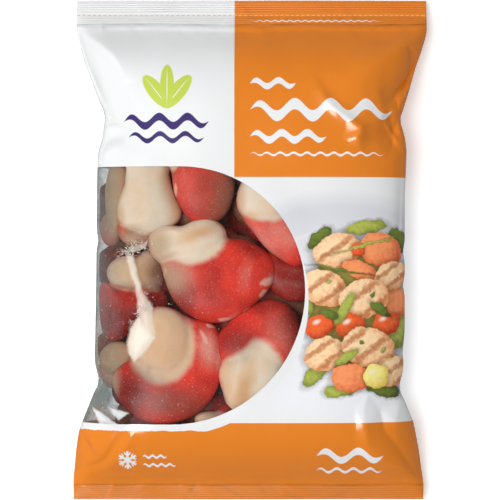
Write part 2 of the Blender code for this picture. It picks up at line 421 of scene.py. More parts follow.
# Swells all over the film: the height, the size in mm and the seed of each.
UNDULATIONS = ((0.42, 24, 3.3), (0.12, 7.5, 8.1))
undulation = sum(rise * wavy(x_mm, y_mm, size, seed) for rise, size, seed in UNDULATIONS)
puckers = seal_puckers() + bowed_wrinkles()
print(PUCKERS, "puckers and", len(BOWED_MM), "bowed wrinkles")

# %% Press the crimp ribs
RIB_BANDS_MM = ((-166.8, -158.0, 6), (150.6, 156.0, 4), (159.0, 166.6, 5))
RIB_RISE = 0.32
# Lines that run along the seals: the middle, half the width and the rise of each. The zip's roll
# under the header stands up, with a groove over it, and a groove ends the foot seal.
SEAL_LINES_PRESSED_MM = (
    (148.6, 1.2, 1.0), (151.0, 0.5, -0.5), (-157.3, 0.6, -0.8), (-155.6, 0.9, 0.4),
)


def crimp_ribs():
    """Ribs that the sealing jaws press in, fainter here and there."""
    strength = RIB_RISE * (0.8 + 0.7 * wavy(x_mm, y_mm, 26, 5.5))
    wander = 0.22 * wavy(x_mm, y_mm, 40, 1.9)
    total = np.zeros_like(x_mm)
    for start, end, count in RIB_BANDS_MM:
        share = (y_mm + wander - start) / (end - start)
        wave = np.sin(2 * math.pi * count * share)
        total += np.where((share > 0) & (share < 1), strength * wave, 0)
    uneven = 1 + 0.9 * wavy(x_mm, y_mm, 10, 4.4)
    for middle, half, rise in SEAL_LINES_PRESSED_MM:
        total += rise * uneven * np.exp(-(((y_mm + 3 * wander - middle) / half) ** 2))
    return total


SEAL_CREASES = 20
CREASES_AT_HEADER = 0.4
HEADER_CREASES_MM = (149.5, 166)
CREASE_STARTS = (-110, 100)
CREASE_WIDTHS = (0.7, 1.6)
CREASE_SLANTS = (5, 22)
CREASE_HEIGHTS = (0.15, 0.4)


def seal_creases():
    """Fine slanting creases across the foot seal and the header."""
    total = np.zeros_like(x_mm)
    for _ in range(SEAL_CREASES):
        at_header = rng.random() < CREASES_AT_HEADER
        foot, top = HEADER_CREASES_MM if at_header else (low.y / MM + 0.5, FOOT_LINE / MM + 2)
        start = rng.uniform(*CREASE_STARTS)
        slant = rng.choice((-1, 1)) * rng.uniform(*CREASE_SLANTS)
        height = rng.uniform(*CREASE_HEIGHTS) * rng.choice((-1, 1))
        line = ((start, foot), (start + slant, top))
        total += ridge(x_mm, y_mm, line, *CREASE_WIDTHS, height, 1)
    return total


# %% Add all the relief to the films
FOLD_FADE = 3 * MM
UNDULATION_FADE = 9 * MM
BACK_SIDE_FADE = 7 * MM
BACK_SEAL_FADE = 2 * MM
ribs = crimp_ribs() + seal_creases()
in_body = eased(from_seal / UNDULATION_FADE)
relief = (folds * eased(from_seal / FOLD_FADE) + puckers + undulation * in_body + ribs) * MM
front_z = front_z + relief
at_rim = np.exp(-from_side / BACK_SIDE_FADE)
in_seal = np.exp(-from_seal / BACK_SEAL_FADE)
back_z = back_z + relief * np.maximum(at_rim, in_seal)
front_z = np.maximum(front_z, back_z + half_film * 2)
front_z[rim] = back_z[rim]
back_z = np.maximum(back_z, 0)
# Depth at which a crimp groove gets the full painted shade, and how far down a groove each point
# lies, from 0 to 1.
FULL_GROOVE = 0.45
groove_shade_share = np.clip(-ribs / FULL_GROOVE, 0, 1)
print("relief", round(relief.min() / MM, 1), "to", round(relief.max() / MM, 1), "mm")


# %% [markdown]
# ## One tube of film
#
# Two fine grids are shaped by these heights, joined, and welded along their rims. The front gets
# one material and the back another, since each has its own print.

# %% Make the film
def paint_points(obj, name, shares):
    """Store one number for each point, for the material to read."""
    attribute = obj.data.attributes.new(name, "FLOAT", "POINT")
    attribute.data.foreach_set("value", shares.astype(np.float32))


def film_sheet(name, heights, facing_up):
    """A grid primitive whose points are moved onto the film."""
    count = len(film_rows)
    bpy.ops.mesh.primitive_grid_add(x_subdivisions=COLUMNS, y_subdivisions=count - 1, size=1)
    sheet = bpy.context.object
    sheet.name = name
    flat = np.array([v.co for v in sheet.data.vertices])
    column = np.rint((flat[:, 0] + 0.5) * COLUMNS).astype(int)
    row = np.rint((flat[:, 1] + 0.5) * (count - 1)).astype(int)
    shaped = np.stack([film_x[row, column], film_rows[row], heights[row, column]], axis=1)
    sheet.data.vertices.foreach_set("co", shaped.ravel())
    paint_points(sheet, "painted_groove_shade", groove_shade_share[row, column])
    if not facing_up:
        sheet.data.flip_normals()
    return sheet


def pick(objects):
    """Select these objects, with the last one active."""
    bpy.ops.object.select_all(action="DESELECT")
    for obj in objects:
        obj.select_set(True)
    bpy.context.view_layer.objects.active = objects[-1]


front_sheet = film_sheet("front_sheet", front_z, True)
back_sheet = film_sheet("back_sheet", back_z, False)
film_tree = ray_tree(front_sheet)
back_tree = ray_tree(back_sheet)
print(len(front_sheet.data.polygons) * 2, "film cells")

# %% [markdown]
# ## Print, drawn with distances
#
# Ink lies where a shape's distance is below zero, so each motif is a few Math nodes on Object
# coordinates, and its edge stays crisp at any size. An image would need pixels, and this needs
# none. A Field stands for what a node puts out, so that sums on it can be written as sums.


# %% Node helpers
class Field:
    """A value that varies over a piece: a node's output, with plain arithmetic on it."""

    def __init__(self, socket):
        self.socket = socket
        self.tree = socket.id_data

    def __add__(self, other):
        return math_node("ADD", self, other)

    def __sub__(self, other):
        return math_node("SUBTRACT", self, other)

    def __rsub__(self, other):
        return math_node("SUBTRACT", other, self)

    def __mul__(self, other):
        return math_node("MULTIPLY", self, other)

    def __truediv__(self, other):
        return math_node("DIVIDE", self, other)

    def __pow__(self, other):
        return math_node("POWER", self, other)

    def __abs__(self):
        return math_node("ABSOLUTE", self)


def feed(socket, given):
    """Give a socket a field, a number, a vector or a colour."""
    if isinstance(given, Field):
        given.tree.links.new(given.socket, socket)
    elif isinstance(given, tuple) and len(socket.default_value) > len(given):
        socket.default_value = (*given, 1)
    else:
        socket.default_value = given


def finish(node, **sockets):
    """Feed sockets by name, with an underscore for each space."""
    for name, given in sockets.items():
        feed(node.inputs[name.replace("_", " ")], given)


def add_node(tree, kind, *inputs, **named):
    """A shader node. Names in small letters set the node itself, the others feed its sockets."""
    node = tree.nodes.new("ShaderNode" + kind)
    for name in filter(str.islower, named):
        setattr(node, name, named[name])
    for socket, given in zip(node.inputs, inputs):
        feed(socket, given)
    finish(node, **{name: named[name] for name in named if not name.islower()})
    return node


def tree_of(*inputs):
    """The node tree that the first field among the inputs belongs to."""
    return next(given.tree for given in inputs if isinstance(given, Field))


def math_node(operation, *inputs, clamp=False):
    """A Math node fed with numbers or fields."""
    node = add_node(tree_of(*inputs), "Math", *inputs, operation=operation, use_clamp=clamp)
    return Field(node.outputs[0])


def vector_node(operation, *inputs, output="Vector"):
    """A Vector Math node fed with vectors or fields."""
    node = add_node(tree_of(*inputs), "VectorMath", *inputs, operation=operation)
    return Field(node.outputs[output])


def along(vector, x, y):
    """How far a vector field reaches along a direction in the plane."""
    return vector_node("DOT_PRODUCT", vector, (x, y, 0), output="Value")


def highest(first, *others):
    """The greatest of some fields. Of distances, it is what all the shapes share."""
    for other in others:
        first = math_node("MAXIMUM", first, other)
    return first


def lowest(first, *others):
    """The least of some fields. Of distances, it is all the shapes together."""
    for other in others:
        first = math_node("MINIMUM", first, other)
    return first


def colour_mix(under, over, cover, blend="MIX"):
    """A colour Mix node: over laid on under, as far as cover says."""
    tree = tree_of(cover, under, over)
    node = add_node(tree, "Mix", cover, data_type="RGBA", blend_type=blend)
    feed(node.inputs[6], under)
    feed(node.inputs[7], over)
    return Field(node.outputs[2])


def inked(distance, blur=0.35):
    """1 inside a shape and 0 outside, with an edge as wide as blur, in mm."""
    return math_node("MULTIPLY_ADD", distance, -1 / blur, 0.5, clamp=True)


def srgb(red, green, blue):
    """A colour given as 0 to 255 values, as the linear values that shaders use."""
    def linear(level):
        level /= 255
        return level / 12.92 if level <= 0.04045 else ((level + 0.055) / 1.055) ** 2.4
    return linear(red), linear(green), linear(blue)


def new_material(name):
    """A material, its tree and its Principled shader."""
    material = bpy.data.materials.new(name)
    material.use_nodes = True
    tree = material.node_tree
    return material, tree, tree.nodes["Principled BSDF"]


def place_mm(tree):
    """Object coordinates in millimetres: the vector, x, y and z."""
    metres = Field(add_node(tree, "TexCoord").outputs["Object"])
    vector = Field(add_node(tree, "VectorMath", metres, operation="SCALE", Scale=1000).outputs[0])
    return vector, *map(Field, add_node(tree, "SeparateXYZ", vector).outputs)


def painted(tree, name):
    """The numbers stored on a piece's points under a name."""
    return Field(add_node(tree, "Attribute", attribute_name=name).outputs["Fac"])


def noise_at(vector, size_mm, detail=2.0, roughness=0.5, output="Fac"):
    """Noise with features of about size_mm."""
    node = add_node(vector.tree, "TexNoise", Vector=vector, Scale=1 / size_mm, Detail=detail,
                    Roughness=roughness)
    return Field(node.outputs[output])


def uneven(vector, size_mm, detail, roughness, strength, depth_mm):
    """The normal of a surface that noise makes slightly uneven."""
    node = add_node(vector.tree, "Bump", Strength=strength, Distance=depth_mm * MM,
                    Height=noise_at(vector, size_mm, detail, roughness))
    return Field(node.outputs[0])


def remap(field, low_in, high_in, low_out, high_out):
    """A field stretched from one range to another, and held inside it."""
    node = add_node(field.tree, "MapRange", field, low_in, high_in, low_out, high_out)
    return Field(node.outputs[0])


# %% Distances to simple shapes
def oval(vector, middle, radii, degrees=0.0):
    """Distance in mm, below zero inside an oval, whatever the height."""
    node = add_node(vector.tree, "Mapping", vector, vector_type="TEXTURE", Location=(*middle, 0),
                    Rotation=(0, 0, math.radians(degrees)), Scale=(*radii, 1e6))
    return vector_node("LENGTH", Field(node.outputs[0]), output="Value") * min(radii) - min(radii)


def box(x, y, x_range, y_range):
    """Distance in mm, below zero inside an upright rectangle."""
    return highest(*(
        abs(axis - (start + end) / 2) - (end - start) / 2
        for axis, (start, end) in ((x, x_range), (y, y_range))
    ))


def wave_stroke(x, y, x_range, level, swing, length, thickness):
    """Distance in mm, below zero inside a wavy stroke with tapering ends."""
    start, end = x_range
    line = math_node("SINE", (x - start) * (2 * math.pi / length)) * swing + level
    off_middle = (x - (start + end) / 2) / ((end - start) / 2)
    return abs(y - line) - (1 - abs(off_middle) ** 6) * (thickness / 2)


# %% Measures of the print
ORANGE = (0.745, 0.213, 0.018)
WHITE = (0.785, 0.79, 0.795)
COLOUR_SPLIT = -10.3
PANEL_TOP = 47.8
FOOT_BAND = -113.6
WINDOW_TOP = 54.9
WINDOW_FOOT = -114.6
# The bow is nearly a half circle: an oval a little longer towards the upper right.
WINDOW_MIDDLE = (-48.6, -29.85)
WINDOW_RADII = (86.25, 83.22)
WINDOW_TURN = math.radians(45)
RING_MIDDLE = (-50.5, -33.0)
RING_RADIUS = 88.9
RING_FOOT = -119.0
BACK_WINDOW_EDGE = -77.0
CUT_LINE = 157.4
PAST_EDGE = 200


# %% [markdown]
# ### The serving picture
#
# The right of the front shows a dish. Here it is a flat drawing of seared rounds, tomatoes,
# leaves and lemon on a pale plate: ovals laid over each other, each with its own soft shadow, a
# lit side and a dark side, and with a little noise in their outlines, so that they look painted.

# %% Draw the plate
PLATE = ((60, -37), (90, 72))
PLATE_EDGE_BLUR = 12
PLATE_LIGHT = srgb(231, 232, 236)
PLATE_SHADE = srgb(211, 212, 217)
WELL_RADII = (62, 50)


def plate(vector, y, under):
    """The pale plate, darker at its far side, with the faint edge of its well."""
    rim = oval(vector, *PLATE)
    colour = colour_mix(PLATE_LIGHT, PLATE_SHADE, remap(rim * 0.6 + y, -70, 16, 0.0, 1.0))
    well = abs(oval(vector, PLATE[0], WELL_RADII))
    colour = colour_mix(colour, WHITE, inked(well - 0.8, 2.5) * 0.7)
    return colour_mix(under, colour, inked(rim, PLATE_EDGE_BLUR))


# %% Draw the food on it
SEARED = (srgb(249, 214, 168), srgb(220, 134, 74))
CRUST = srgb(178, 92, 38)
CORAL = (srgb(246, 152, 98), srgb(206, 78, 34))
TOMATO = (srgb(238, 104, 52), srgb(172, 42, 22))
LEAF = (srgb(176, 184, 84), srgb(88, 100, 34))
DARK_LEAF = (srgb(110, 128, 54), srgb(44, 56, 24))
LEMON = (srgb(246, 232, 140), srgb(214, 176, 52))
BED = (srgb(150, 142, 66), srgb(70, 48, 32))
# Each morsel: its middle, its radii, the turn of its long side, and its lit and dark colours.
SERVING_MM = (
    ((69, -38), (31, 43), 0, BED),
    ((43, -80), (12, 5.5), 52, LEAF), ((60, -92), (12, 4.5), 8, LEAF),
    ((88, -92), (12, 5), -14, DARK_LEAF), ((99, 6), (10, 5.5), -50, DARK_LEAF),
    ((76, 15), (14, 4.5), 8, LEAF), ((46, 8), (10, 4.5), 44, DARK_LEAF),
    ((37, -34), (10, 5), 74, LEAF), ((98, -52), (14, 7), 80, LEAF),
    ((46, -50), (10, 8), 30, TOMATO), ((98, -34), (11, 8), -60, CORAL),
    ((57, -1), (16, 11.5), 14, SEARED), ((86, 0), (15, 11), -16, CORAL),
    ((73, -14), (13, 6), -24, CORAL), ((93, -17), (12, 9), 24, SEARED),
    ((49, -25), (15, 12), -18, SEARED), ((75, -32), (17, 12.5), 12, SEARED),
    ((90, -48), (9.5, 8), 20, TOMATO), ((66, -50), (10, 8.5), 0, TOMATO),
    ((49, -68), (14, 11), 24, SEARED), ((78, -64), (18, 13), -12, SEARED),
    ((95, -80), (12, 10), 8, SEARED), ((66, -84), (13, 9.5), -6, CORAL),
    ((83, -83), (8.5, 8), 0, LEMON), ((71, 0), (5, 4.5), 0, TOMATO),
    ((62, -39), (12, 3.4), 58, LEAF), ((86, -39), (9, 3), -34, DARK_LEAF),
    ((64, -70), (9, 2.8), 32, LEAF), ((52, -42), (7, 2.4), -20, DARK_LEAF),
    ((78, 4), (22, 0.9), 15, LEAF), ((60, -13), (19, 0.8), -10, DARK_LEAF),
    ((88, -66), (2.2, 1.4), 40, LEAF), ((74, -60), (1.8, 1.2), -30, DARK_LEAF),
    ((52, -20), (2.0, 1.3), 10, LEAF), ((81, -29), (2.0, 1.2), 60, DARK_LEAF),
)
WOBBLE_MM = 5.5
WOBBLE_SIZE_MM = 6.25
MORSEL_SHADOW = srgb(58, 34, 22)
GLEAM_COLOUR = (0.9, 0.85, 0.75)
TOWARDS_LIGHT = (-0.6, 0.8)


def morsel(vector, wobbled, mottle, picture, middle, radii, degrees, colours):
    """One piece of food over the picture: its shadow, its body lit from the upper left."""
    distance = oval(wobbled, middle, radii, degrees)
    size, length = min(radii), max(radii)
    shadow = inked(distance - 0.10 * size, 0.35 * size + 1)
    picture = colour_mix(picture, MORSEL_SHADOW, shadow * 0.55)
    ax, ay = (share / length for share in TOWARDS_LIGHT)
    lit = along(wobbled, ax, ay) - (ax * middle[0] + ay * middle[1])
    dark = lit * -0.42 + mottle * 0.55 + remap(distance, -0.45 * size, 0, 0, 0.45)
    body = colour_mix(*colours, math_node("ADD", dark, 0.02, clamp=True))
    if colours is SEARED:
        band = math_node("SINE", lit * 8.5 + middle[0])
        crust = remap(mottle * 0.7 + band, 0.15, 1.0, 0.0, 0.75)
        body = colour_mix(body, CRUST, crust * inked(distance, 0.5 * size))
    if colours in (TOMATO, LEMON):
        gleam = oval(vector, (middle[0] - 0.3 * size, middle[1] + 0.35 * size),
                     (0.28 * size, 0.16 * size), 25)
        body = colour_mix(body, GLEAM_COLOUR, inked(gleam, 0.2 * size) * 0.8)
    return colour_mix(picture, body, inked(distance, 0.5))


def serving_picture(vector, y, under):
    """The plate and the food, painted over the colour given."""
    picture = plate(vector, y, under)
    shift = noise_at(vector, WOBBLE_SIZE_MM, 4, output="Color")
    wobbled = vector_node("MULTIPLY_ADD", shift, (WOBBLE_MM, WOBBLE_MM, 0), vector)
    wobbled = vector_node("SUBTRACT", wobbled, (WOBBLE_MM / 2, WOBBLE_MM / 2, 0))
    mottle = remap(noise_at(vector, 2.6, 5, 0.62), 0.32, 0.68, -0.35, 0.55)
    for entry in SERVING_MM:
        picture = morsel(vector, wobbled, mottle, picture, *entry)
    return picture


# %% [markdown]
# ### The front print
#
# From the back to the front of the ink: white film, the orange fields, the pale panel with its
# dish, the white ring round the window, and small motifs on top: wave strokes in white and
# violet, three green leaves and a snow crystal.

# %% Draw the front print
GREEN = srgb(190, 207, 85)
VIOLET = srgb(62, 48, 108)
# Each stroke: from and to across the bag, its level, swing, wave length and thickness.
WHITE_WAVES_MM = (
    ((0, 87), 153.4, 0.45, 5.1, 0.8),
    ((0, 30), 109.5, 2.0, 15, 4.2),
    ((0, 94), 92.0, 4.0, 23.5, 7.5),
    ((0, 50), 74.5, 2.4, 16.7, 5.0),
    ((0, 88), 63.0, 0.9, 8.8, 1.5),
    ((44, 88), -136.0, 3.2, 22, 5.0),
    ((44, 88), -146.5, 1.4, 11, 2.0),
    ((-71, -55), -136.5, 0.8, 5.3, 1.7),
    ((-71, -49), -142.6, 0.8, 5.5, 1.7),
)
VIOLET_WAVES_MM = (
    ((-83, -27), 84.5, 3.0, 18.7, 5.2),
    ((-80, -30), 74.0, 2.4, 16.7, 3.4),
)
LEAVES_MM = (
    ((-61.5, 104), (13.5, 5.2), 128),
    ((-47.5, 104), (13.5, 5.2), 52),
    ((-54.5, 108), (14.0, 4.6), 90),
)
MIDRIB_HALF = 0.28
MIDRIB_BLUR = 0.25
CRYSTAL_MM = (-81, -139)
CRYSTAL_REACH = 6.4
CRYSTAL_HUB = 2.2
ARM_HALF = 0.75
TWIG_START = 3.1
TWIG_REACH = 2.1
LEFT_OF_BAG = 500
DASH_PITCH = 1.75
DASH_START = 1.1
DASH_HALF = 0.30
DASH_ON_ORANGE = srgb(240, 186, 130)
DASH_ON_WHITE = srgb(240, 172, 118)
TEAR_MM = 3.0


# %% Shapes of the small motifs
def snow_crystal(x, y):
    """Distance to a six-armed crystal: one arm, folded round the middle."""
    dx, dy = x - CRYSTAL_MM[0], y - CRYSTAL_MM[1]
    reach = math_node("SQRT", dx * dx + dy * dy)
    sector = math_node("PINGPONG", math_node("ARCTAN2", dx, dy) + 2 * math.pi, math.pi / 6)
    outward = reach * math_node("COSINE", sector)
    aside = reach * math_node("SINE", sector)
    arm = highest(aside - ARM_HALF, outward - CRYSTAL_REACH)
    twig = highest(abs(outward - aside - TWIG_START) - ARM_HALF, aside - TWIG_REACH)
    return lowest(arm, twig, reach - CRYSTAL_HUB)


def window_ring(vector, x, y):
    """Distance to the white ring round the window, with a torn edge under it."""
    ring = oval(vector, RING_MIDDLE, (RING_RADIUS, RING_RADIUS))
    torn = noise_at(vector, 7, 5, 0.6) * TEAR_MM + (RING_FOOT - TEAR_MM / 2)
    return highest(lowest(ring, x - RING_MIDDLE[0]), torn - y)


def dashes(x, y):
    """Distance to the row of dashes across the header."""
    gap = math_node("PINGPONG", x + LEFT_OF_BAG, DASH_PITCH) - DASH_START
    return highest(gap, abs(y - CUT_LINE) - DASH_HALF)


# %% Lay the inks over each other
def overprint(colour, *layers):
    """Inks laid on a colour in turn. Each has its distance, and may have a blur of its own."""
    for ink, distance, *blur in layers:
        colour = colour_mix(colour, ink, inked(distance, *blur))
    return colour


def front_print(vector, x, y):
    """The colour of the front film."""
    panel = box(x, y, (COLOUR_SPLIT - 40, PAST_EDGE), (FOOT_BAND - 1, PANEL_TOP))
    leaves = []
    for middle, radii, degrees in LEAVES_MM:
        leaves.append((GREEN, oval(vector, middle, radii, degrees)))
        midrib = oval(vector, middle, (0.7 * radii[0], MIDRIB_HALF), degrees)
        leaves.append((WHITE, midrib, MIDRIB_BLUR))
    return overprint(
        WHITE,
        (ORANGE, box(x, y, (COLOUR_SPLIT, PAST_EDGE), (PANEL_TOP, PAST_EDGE))),
        (serving_picture(vector, y, WHITE), panel),
        (ORANGE, y - FOOT_BAND),
        (WHITE, window_ring(vector, x, y)),
        *((WHITE, wave_stroke(x, y, *stroke)) for stroke in WHITE_WAVES_MM),
        *((VIOLET, wave_stroke(x, y, *stroke)) for stroke in VIOLET_WAVES_MM),
        *leaves,
        (WHITE, snow_crystal(x, y)),
        (colour_mix(DASH_ON_ORANGE, DASH_ON_WHITE, inked(x - COLOUR_SPLIT)), dashes(x, y)),
    )


def back_print(vector, x, y):
    """The colour of the back film, whose fields carry on round the sides."""
    upper_right = box(x, y, (0, PAST_EDGE), (PANEL_TOP, PAST_EDGE))
    return overprint(WHITE, (ORANGE, upper_right), (ORANGE, y - FOOT_BAND))


# %% Print the two sheets
GROOVE_SHADE_STRENGTH = 0.34
CRIMPED_ROUGHNESS = 0.25
FILM_IOR = 1.36


def film_material(name, print_colour):
    """Printed film: glossy ink under clear film, with a fine unevenness that breaks highlights."""
    material, tree, shader = new_material(name)
    vector, x, y, _ = place_mm(tree)
    grain = remap(noise_at(vector, 12, 3), 0.3, 0.7, 0.15, 0.22)
    beyond_body = highest(y - HEADER_LINE / MM, FOOT_LINE / MM - y)
    # The print is darkened towards black in the crimp grooves: painted shade.
    finish(
        shader, IOR=FILM_IOR,
        Base_Color=colour_mix(print_colour(vector, x, y), (0, 0, 0),
                              painted(tree, "painted_groove_shade") * GROOVE_SHADE_STRENGTH),
        Roughness=grain + remap(beyond_body, -1, 1, 0, 1) * CRIMPED_ROUGHNESS,
        Normal=uneven(vector, 7, 2, 0.5, strength=0.10, depth_mm=0.3),
    )
    return material


front_sheet.data.materials.append(film_material("front_print", front_print))
back_sheet.data.materials.append(film_material("back_print", back_print))
print("print drawn:", len(front_sheet.data.materials[0].node_tree.nodes), "nodes")

# %% [markdown]
# ## Cutting the window
#
# The window is a letterbox that ends in a round bow. An upright wall in that outline is joined
# to the film, Intersect cuts the film where the wall crosses it, and the wall is deleted. The
# cut is exact, so the window has a clean edge however coarse the film is.

# %% Tools that cut a window
ARC_POINTS = 56
PAST_LEFT = -130
WALL_FOOT = low.z - 20 * MM
WALL_TOP = high.z + 20 * MM


def window_outline():
    """The D of the front window, anticlockwise, from past the left edge of the bag."""
    long_half, short_half = WINDOW_RADII
    c, s = math.cos(WINDOW_TURN), math.sin(WINDOW_TURN)
    top = math.atan2(short_half * c, long_half * s)
    middle_x, middle_y = WINDOW_MIDDLE
    bow = []
    for angle in np.linspace(top - math.pi, top, ARC_POINTS):
        a, b = long_half * math.cos(angle), short_half * math.sin(angle)
        bow.append((middle_x + c * a - s * b, middle_y + s * a + c * b))
    return [(PAST_LEFT, WINDOW_FOOT), *bow, (PAST_LEFT, WINDOW_TOP)]


def select_faces(obj, chosen):
    """Select the faces in the list, and nothing else."""
    mesh = obj.data
    mesh.vertices.foreach_set("select", [False] * len(mesh.vertices))
    mesh.edges.foreach_set("select", [False] * len(mesh.edges))
    mesh.polygons.foreach_set("select", chosen)


@contextmanager
def edit_mode():
    """What is inside the block happens in edit mode."""
    bpy.ops.object.mode_set(mode="EDIT")
    yield
    bpy.ops.object.mode_set(mode="OBJECT")


def faces_inside(obj, outline):
    """Whether the middle of each face lies inside an outline in mm, seen from above."""
    middles = np.zeros(len(obj.data.polygons) * 3)
    obj.data.polygons.foreach_get("center", middles)
    x, y, _ = middles.reshape(-1, 3).T / MM
    inside = np.zeros(len(x), bool)
    for (ax, ay), (bx, by) in zip(outline, [*outline[1:], outline[0]]):
        if ay != by:
            inside ^= ((ay > y) != (by > y)) & (x < ax + (bx - ax) * (y - ay) / (by - ay))
    return inside


def cut_window(sheet, outline, name):
    """Cut the outline through the sheet, and return the part inside it as a new object."""
    count = len(outline)
    mesh = bpy.data.meshes.new("wall")
    ends = [(x * MM, y * MM, z) for z in (WALL_FOOT, WALL_TOP) for x, y in outline]
    mesh.from_pydata(ends, [], [
        (i, (i + 1) % count, (i + 1) % count + count, i + count) for i in range(count)
    ])
    wall = bpy.data.objects.new("wall", mesh)
    bpy.context.scene.collection.objects.link(wall)
    select_faces(sheet, [False] * len(sheet.data.polygons))
    select_faces(wall, [True] * count)
    pick([wall, sheet])
    bpy.ops.object.join()
    with edit_mode():
        bpy.ops.mesh.select_mode(type="FACE")
        bpy.ops.mesh.intersect(mode="SELECT_UNSELECT", separate_mode="CUT", solver="FAST")
    heights = [v.co.z for v in sheet.data.vertices]
    ends = [(min(span), max(span)) for span in (
        [heights[i] for i in face.vertices] for face in sheet.data.polygons
    )]
    select_faces(sheet, [
        foot < WALL_FOOT / 2 or top > high.z - WALL_FOOT / 2 for foot, top in ends
    ])
    with edit_mode():
        bpy.ops.mesh.delete(type="FACE")
    select_faces(sheet, faces_inside(sheet, outline))
    before = set(bpy.data.objects)
    with edit_mode():
        bpy.ops.mesh.separate(type="SELECTED")
    part = (set(bpy.data.objects) - before).pop()
    part.name = name
    return part


# %% Cut both sheets and weld them
back_outline = [
    (PAST_LEFT, WINDOW_FOOT), (BACK_WINDOW_EDGE, WINDOW_FOOT),
    (BACK_WINDOW_EDGE, WINDOW_TOP), (PAST_LEFT, WINDOW_TOP),
]
front_window = cut_window(front_sheet, window_outline(), "front_window")
back_window = cut_window(back_sheet, back_outline, "back_window")
WELD_GAP = 0.02 * MM


def weld(parts, name):
    """Join the parts, merge their rims and smooth them."""
    pick(parts)
    bpy.ops.object.join()
    whole = bpy.context.object
    whole.name = whole.data.name = name
    with edit_mode():
        bpy.ops.mesh.select_all(action="SELECT")
        bpy.ops.mesh.remove_doubles(threshold=WELD_GAP)
        bpy.ops.mesh.select_all(action="DESELECT")
    bpy.ops.object.shade_smooth()
    return whole


bag_film = weld([back_sheet, front_sheet], "bag_film")
window_film = weld([back_window, front_window], "window_film")
for film in (bag_film, window_film):
    print(film.name, len(film.data.polygons), "faces")

# %% [markdown]
# ## Clear film
#
# The window is the same film with no ink. What is seen of it is its gloss, a slight milky haze
# that thickens edge on and along the left side, and painted highlights: white patches, bright
# threads and specks as of fine ice, painted into its colour where folds and crumples would catch
# the light. A Transparent shader lets the contents show, and a Glossy one is mixed in as the film
# is seen edge on. A real glass shader would cast the scallops into shadow, and thin film hardly
# bends light.


# %% Where the clear film shows
HAZE_COLOUR = (0.18, 0.225, 0.22)
WARM_HAZE_COLOUR = (0.20, 0.17, 0.14)
# Colours of the painted highlights: cream, and whiter at the foot.
HIGHLIGHT_COLOUR = (0.90, 0.82, 0.71)
FOOT_HIGHLIGHT_COLOUR = (0.86, 0.87, 0.88)
FOOT_HIGHLIGHT_FADE_MM = (-96, -88)
CLEAR_COLOUR = (0.97, 0.97, 0.97)
# Haze from the left edge inwards: where it is full, where it ends, and how strong it is there.
SIDE_HAZE = (-112, -82, 0.62, 0.03)
GLOSS_SHARE = 0.05
# Painted highlights, where the film's folds would catch the light: the corners of each convex
# patch, the softness of its edge, its strength.
LIT_PATCHES_MM = (
    # A painted highlight on slack film lifted off the food: a blade that widens down to a crescent.
    (((-82.8, -3), (-77.0, -3), (-70.6, -27), (-75.2, -28), (-78.6, -15)), 1.6, 0.85),
    (((-75.4, -25), (-70.8, -26), (-63.4, -38), (-64.4, -42), (-73.7, -37)), 1.6, 0.75),
    (((-73.8, -36), (-64.6, -38), (-63.2, -46.6), (-61.4, -57.1), (-67, -60), (-73, -52)),
     1.8, 0.70),
    (((-73, -43), (-66, -50), (-61.6, -57.5), (-71, -69.5), (-75.8, -73.4), (-80, -67.6),
      (-80.8, -59.7), (-78.7, -51.5)), 1.8, 0.92),
    # Painted highlights on the two bright corners of the fold at the lower left.
    (((-104.6, -104.6), (-101.6, -110.4), (-99.5, -115), (-87, -115), (-95.4, -108.8)), 1.2, 0.97),
    (((-93.8, -103.6), (-86.4, -112.2), (-80, -107.2)), 1.2, 0.97),
    # A painted glint on crumpled film between two pieces.
    (((-82, -2.5), (-84.5, -0.5), (-76, 2.5), (-68, 5.5), (-67.5, 3), (-74, -1)), 1.6, 0.50),
)
# Painted glints, bright threads as of crumpled film: the middle of each oval, its radii and turn.
CRUMPLE_GLINTS_MM = (((-76, 0.6), (11.5, 4.2), 21), ((-73, -38), (2.2, 12), -27))
# Painted sparkle, white specks as of fine ice on the film: ovals as above.
FROST_SPARKLE_MM = (((-98, 24), (7, 46), 0), ((-70, -60), (60, 60), 0))
# Grey-green where the film turns down to the side, or lies on film.
SHADED_PATCHES_MM = (
    (((-120, 60), (-120, 38), (-101, 38), (-95, 60)), 9.0, 0.75),
    (((-97, -84), (-112, -100), (-104, -110), (-96, -108), (-91.5, -90)), 3.0, 0.85),
)


def facet(vector, corners):
    """Distance in mm, below zero inside a convex patch."""
    twice_area = sum(a[0] * b[1] - b[0] * a[1] for a, b in zip(corners, (*corners[1:], corners[0])))
    if twice_area < 0:
        corners = corners[::-1]
    sides = []
    for (ax, ay), (bx, by) in zip(corners, (*corners[1:], corners[0])):
        length = math.hypot(bx - ax, by - ay)
        out_x, out_y = (by - ay) / length, (ax - bx) / length
        sides.append(along(vector, out_x, out_y) - (out_x * ax + out_y * ay))
    return highest(*sides)


def patches(vector, given, ragged):
    """How strongly a point lies in the given patches, from 0 to 1."""
    shares = []
    for corners, softness, strength in given:
        reach = facet(vector, corners) + ragged
        shares.append(inked(reach, softness) * remap(reach, -5.0, 0.0, strength, 0.6 * strength))
    return highest(*shares)


def painted_highlights(vector):
    """How white the film is painted where it would catch the light, on folds and crumples, from 0
    to 1.
    """
    ragged = remap(noise_at(vector, 5, 3, 0.6), 0.3, 0.7, -0.5, 0.5)
    total = patches(vector, LIT_PATCHES_MM, ragged)
    creased = abs(noise_at(vector, 4.5, 4, 0.62) - 0.5)
    threads = remap(creased, 0.0, 0.03, 1.0, 0.0)
    specks = remap(noise_at(vector, 1.5, 2, 0.5), 0.70, 0.76, 0.0, 0.65)
    for mark, ovals_mm in ((threads, CRUMPLE_GLINTS_MM), (specks, FROST_SPARKLE_MM)):
        for middle, radii, degrees in ovals_mm:
            inside = inked(oval(vector, middle, radii, degrees), 0.8 * min(radii))
            total = highest(total, mark * inside)
    return total


